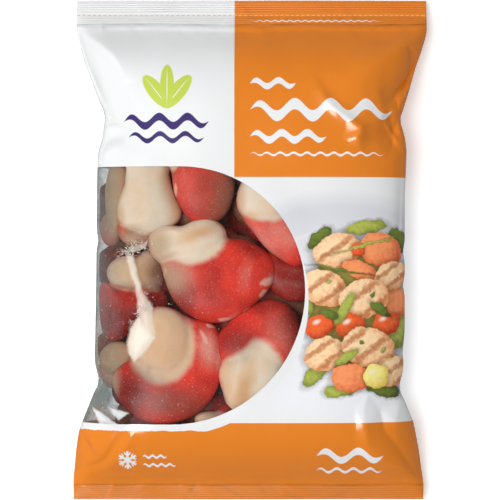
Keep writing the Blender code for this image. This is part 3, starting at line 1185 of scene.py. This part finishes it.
# %% Make the clear film
def clear_film():
    """Thin clear film: mostly see-through, a little haze, painted highlights, gloss growing edge
    on.
    """
    material, tree, shader = new_material("clear_film")
    vector, x, y, _ = place_mm(tree)
    white = painted_highlights(vector)
    normal = uneven(vector, 5, 4, 0.6, strength=0.25, depth_mm=0.4)
    cloud = noise_at(vector, 9, 4, 0.6)
    facing = Field(add_node(tree, "LayerWeight", Blend=0.3).outputs["Facing"])
    edge_on = remap(facing, 0.1, 1.0, 0.0, 0.5)
    at_side = remap(x, *SIDE_HAZE) * remap(cloud, 0.3, 0.7, 0.6, 1.3)
    shaded = patches(vector, SHADED_PATCHES_MM, remap(cloud, 0.3, 0.7, -1.5, 1.5))
    hazy = highest(math_node("ADD", edge_on, at_side, clamp=True), shaded, white)
    warmth = remap(noise_at(vector, 24, 2), 0.42, 0.58, 0.0, 1.0)
    tint = colour_mix(HAZE_COLOUR, WARM_HAZE_COLOUR, warmth)
    # Painted highlight colour: white at the foot, cream higher up.
    highlight_colour = colour_mix(FOOT_HIGHLIGHT_COLOUR, HIGHLIGHT_COLOUR, remap(y, *FOOT_HIGHLIGHT_FADE_MM, 0, 1))
    finish(shader, Base_Color=colour_mix(tint, highlight_colour, white / highest(hazy, 0.01)),
           Roughness=0.6, Specular_IOR_Level=0.0)
    clear = add_node(tree, "BsdfTransparent", Color=CLEAR_COLOUR)
    gloss = add_node(tree, "BsdfGlossy", Color=(1, 1, 1), Roughness=0.20, Normal=normal)
    mirrored = Field(add_node(tree, "Fresnel", IOR=1.5, Normal=normal).outputs[0])
    gleaming = math_node("MULTIPLY", mirrored, GLOSS_SHARE, clamp=True)
    mixed = clear
    for share, over in ((hazy, shader), (gleaming, gloss)):
        mixed = add_node(tree, "MixShader", share, Field(mixed.outputs[0]), Field(over.outputs[0]))
    finish(tree.nodes["Material Output"], Surface=Field(mixed.outputs[0]))
    return material


window_film.data.materials.clear()
window_film.data.materials.append(clear_film())
print("clear film made")

# %% [markdown]
# ## The scallops
#
# A scallop's meat is a stout disc of muscle, cream and matt, with the roe curled round part of
# it: a smooth red tongue that narrows to its tip. No primitive has such an outline. So each
# lobe starts as a sphere whose girth is pushed out to a smooth curve through a few points, with
# a flattened top and a round rim. The lobes are fused by a voxel Remesh and softened by Smooth,
# which leaves the shallow crease between muscle and roe. Then the piece is pressed against the
# film, as frozen pieces in a full bag are.

# %% Tools for soft food
VOXEL = 1.0 * MM
UNDER_FILM = 0.35 * MM
SIDE_ROOM = 1.5 * MM
RIM_SQUARENESS = 2.7
SOFTENING = 14
GIRTH_STEPS = 8


def film_height(x, y, tree=film_tree, sign=1):
    """Height of the front or back film at a point, in metres."""
    hit = tree.ray_cast(Vector((x, y, sign)), Vector((0, 0, -sign)))[0]
    return hit.z if hit else None


def side_limits(y):
    """Furthest left and right that food can lie at a level, just inside the film."""
    return [np.interp(y, levels, edge) + room
            for edge, room in ((left_edge, SIDE_ROOM), (right_edge, -SIDE_ROOM))]


def apply_modifier(obj, kind, **settings):
    """Add a modifier with these settings and apply it."""
    modifier = obj.modifiers.new(kind.lower(), kind)
    for key, setting in settings.items():
        setattr(modifier, key, setting)
    pick([obj])
    bpy.ops.object.modifier_apply(modifier=modifier.name)


def girth(outline):
    """The middle of a closed outline, and its radius at every bearing round that middle."""
    ring = [*outline[-2:], *outline, *outline[:2]]
    smooth = curve_through(ring, GIRTH_STEPS)[GIRTH_STEPS:-GIRTH_STEPS]
    middle = smooth.mean(axis=0)
    bearing = np.arctan2(*(smooth - middle).T[::-1])
    order = np.argsort(bearing)
    reach = np.hypot(*(smooth - middle).T)[order]
    return middle, lambda angle: np.interp(angle, bearing[order], reach, period=2 * math.pi)


def lobe(outline, top_mm, thickness_mm):
    """A sphere primitive pushed out to the outline, all in mm, with its top at top_mm."""
    middle, radius = girth(outline)
    bpy.ops.mesh.primitive_uv_sphere_add(segments=48, ring_count=20, radius=1)
    ball = bpy.context.object
    p = np.array([v.co for v in ball.data.vertices])
    x, y, z = p.T
    flat = np.hypot(x, y)
    share = flat ** (2 / RIM_SQUARENESS) * radius(np.arctan2(y, x)) / np.maximum(flat, 1e-9)
    up = np.sign(z) * abs(z) ** (2 / RIM_SQUARENESS)
    shaped = np.stack([
        middle[0] + x * share, middle[1] + y * share, top_mm + (up - 1) * thickness_mm / 2,
    ], axis=1) * MM
    ball.data.vertices.foreach_set("co", shaped.ravel())
    return ball


def outline_reach(points, outlines):
    """How far out each point lies, seen from above, as a share of the nearest outline."""
    reach = np.full(len(points), 9.0)
    for outline in outlines:
        middle, radius = girth(outline)
        d = points[:, :2] / MM - middle
        reach = np.minimum(reach, np.hypot(*d.T) / radius(np.arctan2(d[:, 1], d[:, 0])))
    return reach


def disc(x, y, long_half, short_half, degrees=0.0, corners=12):
    """An oval outline."""
    c, s = math.cos(math.radians(degrees)), math.sin(math.radians(degrees))
    turns = [2 * math.pi * i / corners for i in range(corners)]
    ring = [(long_half * math.cos(t), short_half * math.sin(t)) for t in turns]
    return [(x + c * a - s * b, y + s * a + c * b) for a, b in ring]


# %% Shape and paint one scallop
# Edge of each tone's ovals: how ragged it is, where it starts to fade, and over how much.
TONE_EDGES = {tone: (2, 0.1, 1.2) for tone in ("tan", "frost", "deep", "haze")}
TONE_EDGES["chips"] = (11, 0.75, 0.35)
# Noise: how many waves to the metre, and how strong. Lumps are in mm, ragged edges are shares.
LUMPS = ((50, 0.8), (190, 0.16))
RAGGED_EDGE = ((130, 0.06), (420, 0.03))
SHIFT, SHIFTS = 13.7, 17
FREE_TOP_MM = 30


def scallop(name, depth, thickness, muscle, roe, blend=0.13, roe_drop=1.0, **tones):
    """One piece. Muscle and roe are lists of outlines seen from above, in mm. Its top lies depth
    mm under the film, and the roe's roe_drop mm lower. Each tone is a list of ovals, with the
    strength of each first."""
    parts = []
    for outlines, drop in ((muscle, 0), (roe, roe_drop)):
        for outline in outlines:
            x, y = girth(outline)[0]
            top = (film_height(x * MM, y * MM) or FREE_TOP_MM * MM) / MM - depth - drop
            parts.append(lobe(outline, top, thickness - drop))
    pick(parts)
    bpy.ops.object.join()
    piece = bpy.context.object
    piece.name = piece.data.name = name
    apply_modifier(piece, "REMESH", mode="VOXEL", voxel_size=VOXEL)
    apply_modifier(piece, "SMOOTH", factor=0.5, iterations=SOFTENING)
    points = np.array([v.co for v in piece.data.vertices])
    normals = np.array([v.normal for v in piece.data.vertices])
    shift = Vector((SHIFT * (1 + sum(map(ord, name)) % SHIFTS), 0, 0))
    (broad, broad_mm), (fine, fine_mm) = LUMPS
    lumps = np.array([
        broad_mm * noise.noise(p * broad + shift) + fine_mm * noise.noise(p * fine)
        for p in map(Vector, points)
    ])
    points = points + normals * lumps[:, None] * MM
    points[:, 0] = np.clip(points[:, 0], *side_limits(points[:, 1]))
    for point in points:
        ceiling = film_height(point[0], point[1])
        floor = film_height(point[0], point[1], back_tree, -1)
        if ceiling is not None:
            point[2] = min(point[2], ceiling - UNDER_FILM)
        if floor is not None:
            point[2] = max(point[2], floor + UNDER_FILM)
    piece.data.vertices.foreach_set("co", points.ravel())
    ragged = np.array([
        sum(noise.noise(p * waves) * share for waves, share in RAGGED_EDGE)
        for p in map(Vector, points)
    ])
    to_roe = eased((outline_reach(points, muscle) + ragged - 1 + blend) / (2 * blend))
    paint_points(piece, "roe", to_roe * bool(roe))
    for tone, (raggedness, start, softness) in TONE_EDGES.items():
        total = np.zeros(len(points))
        for strength, *oval_mm in tones.get(tone, ()):
            reach = outline_reach(points, [disc(*oval_mm)]) + raggedness * ragged
            total = np.maximum(total, strength * (1 - eased((reach - start) / softness)))
        paint_points(piece, tone, total)
    pick([piece])
    bpy.ops.object.shade_smooth()
    return piece


# %% Finish of the muscle and roe
CREAM = srgb(227, 212, 192)
WARM_CREAM = srgb(226, 204, 174)
TAN = srgb(206, 156, 108)
ROE_RED = srgb(222, 57, 41)
ROE_DARK = srgb(184, 40, 31)
FROSTED_ROE = srgb(224, 166, 150)
HAZED = srgb(178, 154, 124)
# Tint of the painted shade, multiplied into the flesh.
DEEP_SHADE = (0.26, 0.17, 0.17)
RIME = srgb(236, 218, 206)
CHIPPED_ICE = srgb(232, 184, 168)


def scallop_flesh():
    """Cream muscle and red roe under a thin glaze of ice, blended by the piece's own shares."""
    material, tree, shader = new_material("scallop_flesh")
    vector = place_mm(tree)[0]
    coarse = noise_at(vector, 15, 3)
    fine = noise_at(vector, 1.3, 4, 0.65)
    muscle = colour_mix(CREAM, WARM_CREAM, remap(coarse, 0.42, 0.66, 0, 1))
    # Tan is partly the muscle's own browner colour and partly painted shade, on sides turned from
    # the light and where pieces meet.
    muscle = colour_mix(muscle, TAN, painted(tree, "tan") * 0.9)
    roe = colour_mix(ROE_RED, ROE_DARK, remap(coarse, 0.45, 0.75, 0, 0.85))
    flesh = colour_mix(muscle, roe, painted(tree, "roe"))
    frosted = painted(tree, "frost") * remap(fine, 0.3, 0.7, 0.45, 0.95)
    flesh = colour_mix(flesh, FROSTED_ROE, frosted)
    # Painted shade: the flesh darkened to a dark red where a piece lies deep among others, in their
    # shadow.
    deep = colour_mix(flesh, DEEP_SHADE, 1.0, "MULTIPLY")
    flesh = colour_mix(flesh, deep, painted(tree, "deep"))
    flesh = colour_mix(flesh, HAZED, painted(tree, "haze"))
    flesh = colour_mix(flesh, CHIPPED_ICE, painted(tree, "chips") * 0.72)
    finish(
        shader, Base_Color=colour_mix(flesh, RIME, remap(fine, 0.58, 0.80, 0, 0.35)),
        Roughness=0.55, Specular_IOR_Level=0.12, Coat_Weight=0.03, Coat_Roughness=0.3,
        Subsurface_Weight=0.35, Subsurface_Radius=(1.0, 0.42, 0.28), Subsurface_Scale=4 * MM,
        Normal=uneven(vector, 2.2, 5, 0.6, strength=0.30, depth_mm=0.4),
    )
    return material


flesh = scallop_flesh()

# %% Lay the scallops that the window shows
scallops = [
    scallop("scallop_top_left", 0.0, 27, [
        [(-82, 66), (-82, 53), (-83.5, 42), (-87.5, 31), (-88, 22), (-84, 15.5), (-76, 12),
         (-68, 9.5), (-57, 12.5), (-47.5, 18), (-45, 26), (-50, 37), (-53, 50), (-54, 64)]],
        [[(-87, 17), (-78, 14), (-67, 10), (-67, 5), (-73, 1), (-80, 2.5), (-86, 8)]],
        blend=0.08, tan=[(0.9, -49, 38, 9, 30, 12), (0.5, -86, 22, 5, 12, 10)],
        haze=[(0.75, -77, 5, 18, 11, -20)],
        deep=[(0.9, -77, 4, 18, 11, -20), (0.14, -68, 40, 90, 90)]),
    scallop("scallop_top_middle", 1.5, 25, [[(-58, 70), (-52, 52), (-44, 60), (-40, 72)]],
            [[(-52, 66), (-51.6, 50), (-50, 37), (-45, 26), (-38, 18), (-28, 16), (-17, 22),
              (-11, 34), (-11, 50), (-20, 66)]],
            roe_drop=0.5, chips=[(1, -49.5, 37, 1.1, 6, -8)], haze=[(0.3, -6, 32, 30, 46, -8)],
            frost=[(0.5, -51, 42, 5, 20, 4), (0.2, -43, 44, 14, 24, 0)],
            deep=[(1, -6, 32, 34, 50, -8), (0.6, -34, 14, 20, 9, 0), (0.18, -42, 40, 60, 80)]),
    scallop("scallop_top_right", 0.8, 23, [
        [(-4, 48), (-8, 40), (-9, 31), (-6, 23.5), (1, 20), (9, 18.5), (18, 19), (27, 24),
         (26, 36), (14, 48), (4, 52)]],
        [[(-5, 24), (2, 12), (10, 2), (20, -6), (31, -11), (40, -4), (38, 12), (30, 22), (14, 26)]],
        tan=[(0.7, -7, 32, 5, 16, 0), (0.8, 0, 20, 8, 5, -35)],
        frost=[(0.7, 8, 6, 24, 7, -46), (0.65, 20, 12, 18, 12, -40)]),
    scallop("scallop_middle", 0.0, 28, [
        [(-67, 9), (-62, 14.5), (-54, 16.5), (-45, 16), (-37, 19.5), (-28, 21), (-20, 18),
         (-15, 11.5), (-17, 3), (-24, -4.5), (-33, -8.5), (-42, -9.5), (-51, -7), (-60, -8),
         (-66, -1)]],
        [[(-58, -6), (-40, 0), (-22, 4), (-14, 7.5), (-4, 7), (6, 3), (14, -4), (17.5, -12),
          (15.5, -20), (11, -28), (3, -36), (-8, -44), (-19, -48.5), (-31, -47), (-41, -42),
          (-50, -34), (-55, -24), (-58, -14)]],
        roe_drop=1.5, tan=[(0.9, -34, 11, 15, 5.5, 14), (0.5, -60, 4, 10, 12, 0)],
        haze=[(0.75, -63, 3, 13, 18, 0), (0.75, -54, -17, 17, 13, -20)],
        frost=[(0.5, -50, -12, 18, 11, -24), (1, 15.5, -20, 5, 4.5, -20),
               (1, 12.5, -30, 2.5, 5, -30), (0.7, -13, -46, 3, 8, -50),
               # The faint frost streak at (-3, -16) is a painted highlight.
               (0.3, -3, -16, 5, 14, -10), (0.25, -52, -34, 10, 18, 30)],
        chips=[(1, 11.5, -21.5, 4.6, 2.6, 8), (1, 9.5, -29, 2.8, 4.4, -14),
               (1, -16, -45.5, 4, 1.5, 4), (1, -57, -21, 1.4, 7, -10),
               (1, -1.5, -39.5, 3.2, 1.2, 36)],
        deep=[(0.75, -50, -32, 20, 26, 30), (0.55, 2, 2, 20, 7, -24), (0.3, -30, -26, 14, 20, 10)]),
    scallop("scallop_left", 3.5, 23, [
        [(-95, -15), (-92, -8), (-84, -4), (-75, -4.5), (-68, 0), (-61, -2), (-57, -9),
         (-56, -19), (-60, -26), (-70, -26), (-80, -26), (-91, -23)]],
        [[(-99, -22), (-88, -26), (-74, -27), (-60, -26), (-53.5, -31), (-55, -40), (-66, -43),
          (-76, -48), (-83, -58), (-93, -60), (-99, -50)]],
        blend=0.2, tan=[(0.8, -70, -14, 26, 16, 0)], haze=[(0.5, -84, -12, 18, 14, 0)],
        deep=[(1, -80, -50, 36, 28, 0), (1, -60, -36, 20, 18, 0), (1, -58, -15, 17, 24, 0),
              (0.6, -85, -36, 24, 14, 0)]),
    scallop("scallop_lower_left", 0.0, 29, [disc(-58.2, -62.6, 22.2, 25.4)],
            [[(-90, -92), (-90, -82), (-82, -74), (-72, -68), (-50, -44), (-36, -45.5),
              (-26, -47.5), (-19.5, -56), (-17, -68), (-18, -80), (-22, -93), (-30, -104),
              (-42, -112), (-56, -115.5), (-70, -113), (-82, -105)]],
            blend=0.12, roe_drop=2.6, tan=[(0.8, -57, -64, 36, 40, 20)],
            haze=[(0.10, -52, -102, 30, 14, 6), (0.55, -90, -89, 5, 15, -12)],
            chips=[(1, -30.5, -57, 2.0, 4.5, 22), (1, -26, -50, 3.6, 1.3, -20),
                   (1, -19, -66, 1.2, 5, 4)],
            frost=[(1, -28, -65, 8, 15, 12), (0.8, -20, -70, 5, 12, 0),
                   (0.9, -90, -85, 2.6, 12, -8), (0.5, -42, -46, 8, 4, -34)],
            deep=[(1, -79, -95, 24, 26, 30), (0.75, -58, -99, 42, 16, -10),
                  (0.45, -42, -108, 34, 9, 0)]),
    scallop("scallop_lower_right", 2.0, 26, [
        [(-20, -88), (-20.5, -78), (-15, -71), (-6, -66), (2, -59.5), (10, -60), (17.5, -66),
         (22, -75), (22, -86), (16, -95), (6, -103), (-6, -108), (-14, -105)]],
        [[(-23, -70), (-21, -56), (-12, -46), (0, -37), (12, -32), (22, -34), (31, -42),
          (34, -54), (31, -68), (24, -78), (6, -84), (-12, -80)]],
        roe_drop=0.8, tan=[(1, -5, -93, 8, 24, -14), (0.6, -16, -84, 9, 24, 0)],
        frost=[(0.45, 20, -56, 12, 18, 20)],
        deep=[(1, 32, -42, 18, 26, 0), (0.6, -10, -60, 18, 14, 0), (0.6, 14, -36, 26, 8, 0)]),
    scallop("scallop_right", 6.0, 20, [], [
        [(12, 0), (22, -6), (36, -8), (44, -20), (38, -33), (26, -34), (14, -26), (8, -14)]],
        deep=[(0.8, 28, -16, 60, 50, 0)],
        frost=[(0.4, 26, -22, 18, 2.5, -8), (0.3, 28, -13, 16, 2, -12)]),
    scallop("scallop_left_small", 3.0, 17, [
        [(-100, -70), (-95, -63), (-87, -60.5), (-79, -63), (-77, -71), (-81, -79), (-90, -82),
         (-98, -78)]],
        [[(-101, -76), (-92, -80), (-84, -84), (-88, -92), (-97, -90)]],
        tan=[(1, -88, -72, 30, 30, 0)], haze=[(0.8, -88, -72, 30, 30)],
        deep=[(0.65, -88, -80, 40, 30)]),
    scallop("scallop_foot", 3.5, 17, [disc(-22, -113, 15, 7, -6)], [disc(-10, -109, 12, 9, -20)],
            blend=0.2, tan=[(0.5, -22, -113, 20, 10, 0)], deep=[(1, -8, -104, 40, 22, -30)]),
    scallop("scallop_edge", 4.0, 20, [disc(-88, 36, 8, 26, -3)], [disc(-92, 14, 8, 12, 0)],
            blend=0.2, tan=[(1, -88, 36, 30, 60, 0)], haze=[(0.85, -88, 38, 24, 44, 0)],
            deep=[(0.5, -88, 20, 40, 60, 0)]),
]

# %% [markdown]
# ## Scallops underneath
#
# Between the pieces that press on the film, others show in shadow, and their colour is painted tan
# and darkened all over with painted shade as well. They are the same food, laid in two layers on a
# loose grid with a seeded jitter, wherever the window could show them.

# %% Fill the bag under them
LAYER_HEIGHTS_MM = (15, 30)
FILL_PITCH_MM = 31
FILL_X_MM = (-80, 30)
FILL_Y_MM = (-112, 64)
FILL_JITTER_MM = (-5, 5)
FILL_TOP_GAP_MM = 12
FILL_HALF_MM = 8
ROE_OFFSET_MM = 13
fill_rng = np.random.default_rng(23)


def fill_layer(height, index):
    """Whole scallops on a jittered grid at one height above the back film."""
    laid = []
    offset = 0.5 * FILL_PITCH_MM * (index % 2)
    for x in np.arange(FILL_X_MM[0] + offset, FILL_X_MM[1], FILL_PITCH_MM):
        for y in np.arange(FILL_Y_MM[0] + offset, FILL_Y_MM[1], FILL_PITCH_MM):
            px, py = (level + fill_rng.uniform(*FILL_JITTER_MM) for level in (x, y))
            top = film_height(px * MM, py * MM)
            if top is None or top / MM < height + FILL_TOP_GAP_MM:
                continue
            away = fill_rng.uniform(0, 360)
            ox = ROE_OFFSET_MM * math.cos(math.radians(away))
            oy = ROE_OFFSET_MM * math.sin(math.radians(away))
            # Every piece underneath is painted tan and darkened all over with painted shade.
            all_over = (1, px, py, 300, 300)
            laid.append(scallop(
                f"scallop_under_{index}_{len(laid)}", top / MM - height - FILL_HALF_MM, 18,
                [disc(px, py, 13, 12, away)], [disc(px + ox, py + oy, 18, 14, away + 90)],
                blend=0.15, roe_drop=-0.6, tan=[all_over], deep=[all_over]))
    return laid


for index, layer_height in enumerate(LAYER_HEIGHTS_MM):
    scallops += fill_layer(layer_height, index)
for piece in scallops:
    piece.data.materials.clear()
    piece.data.materials.append(flesh)
print(len(scallops), "scallops,", sum(len(s.data.polygons) for s in scallops), "faces")

# %% [markdown]
# ## Hand the pieces over
#
# Every piece rides on the bag's one body and stands in for its plain solid.

# %% Ride on the body and replace the solid
films = [(bag_film, "printed_film"), (window_film, "clear_film")]
for piece, slot in films + [(food, "scallop") for food in scallops]:
    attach(piece, "root")
    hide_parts("bag")

# %% [markdown]
# ## Floor, light and camera
#
# The bag was photographed from straight in front. It lies here, so the camera looks straight
# down on it through a long lens. An even white sky lights the film from all round, and a broad
# soft lamp, some 25 degrees left of the camera, shapes the folds. A second lamp at the lower left
# lights nothing but reflections, and gives the film its glints. The sky is dimmer in reflections
# and the floor doesn't show in them, so that they don't veil the print and the window. The floor
# shines a little to the camera alone, which leaves no more than a trace of shadow on it.

# %% Set the stage
FLOOR_SIDE = 6
FLOOR_DROP = 0.4 * MM
SHADOW_FILL = 0.35
bpy.ops.mesh.primitive_plane_add(size=FLOOR_SIDE, location=(0, 0, -FLOOR_DROP))
floor = bpy.context.object
floor.name = "floor"
floor_material, floor_tree, floor_shader = new_material("floor")
seen = Field(add_node(floor_tree, "LightPath").outputs["Is Camera Ray"])
finish(floor_shader, Base_Color=(0.98, 0.98, 0.98), Roughness=0.9, Specular_IOR_Level=0.0,
       Emission_Color=(1, 1, 1), Emission_Strength=seen * SHADOW_FILL)
floor.data.materials.append(floor_material)
floor.visible_glossy = False

# %% Light the sky and the lamps
SKY = 0.40
SKY_IN_REFLECTIONS = 0.22
LIT_POINT = Vector((0, 0, 0.03))
world = bpy.data.worlds.new("studio")
world.use_nodes = True
in_reflection = Field(add_node(world.node_tree, "LightPath").outputs["Is Glossy Ray"])
finish(world.node_tree.nodes["Background"], Color=(1, 1, 1),
       Strength=in_reflection * (SKY_IN_REFLECTIONS - SKY) + SKY)
bpy.context.scene.world = world
bpy.context.scene.view_settings.view_transform = "Standard"


def area_lamp(name, place, size, power, in_reflections=True, on_surfaces=True):
    """A square lamp aimed at the middle of the bag."""
    bpy.ops.object.light_add(type="AREA", location=place)
    lamp = bpy.context.object
    lamp.name = name
    lamp.data.size = size
    lamp.data.energy = power
    lamp.rotation_euler = (LIT_POINT - Vector(place)).to_track_quat("-Z", "Y").to_euler()
    lamp.visible_glossy = in_reflections
    lamp.visible_diffuse = on_surfaces
    return lamp


area_lamp("key", (-0.58, -0.04, 1.37), 1.0, 19.2, in_reflections=False)
area_lamp("glint", (-0.62, -0.58, 1.40), 0.7, 40, on_surfaces=False)

# %% Look straight down
LENS = 200
SENSOR = 36
SEEN_SIDE = 335.7 * MM
EDGE_HEIGHT = 10 * MM
camera_data = bpy.data.cameras.new("camera")
camera_data.lens = LENS
camera_data.sensor_width = SENSOR
camera = bpy.data.objects.new("camera", camera_data)
camera.location = (0, 0, SEEN_SIDE * LENS / SENSOR + EDGE_HEIGHT)
bpy.context.scene.collection.objects.link(camera)
bpy.context.scene.camera = camera
print("camera at", round(camera.location.z, 2), "m")
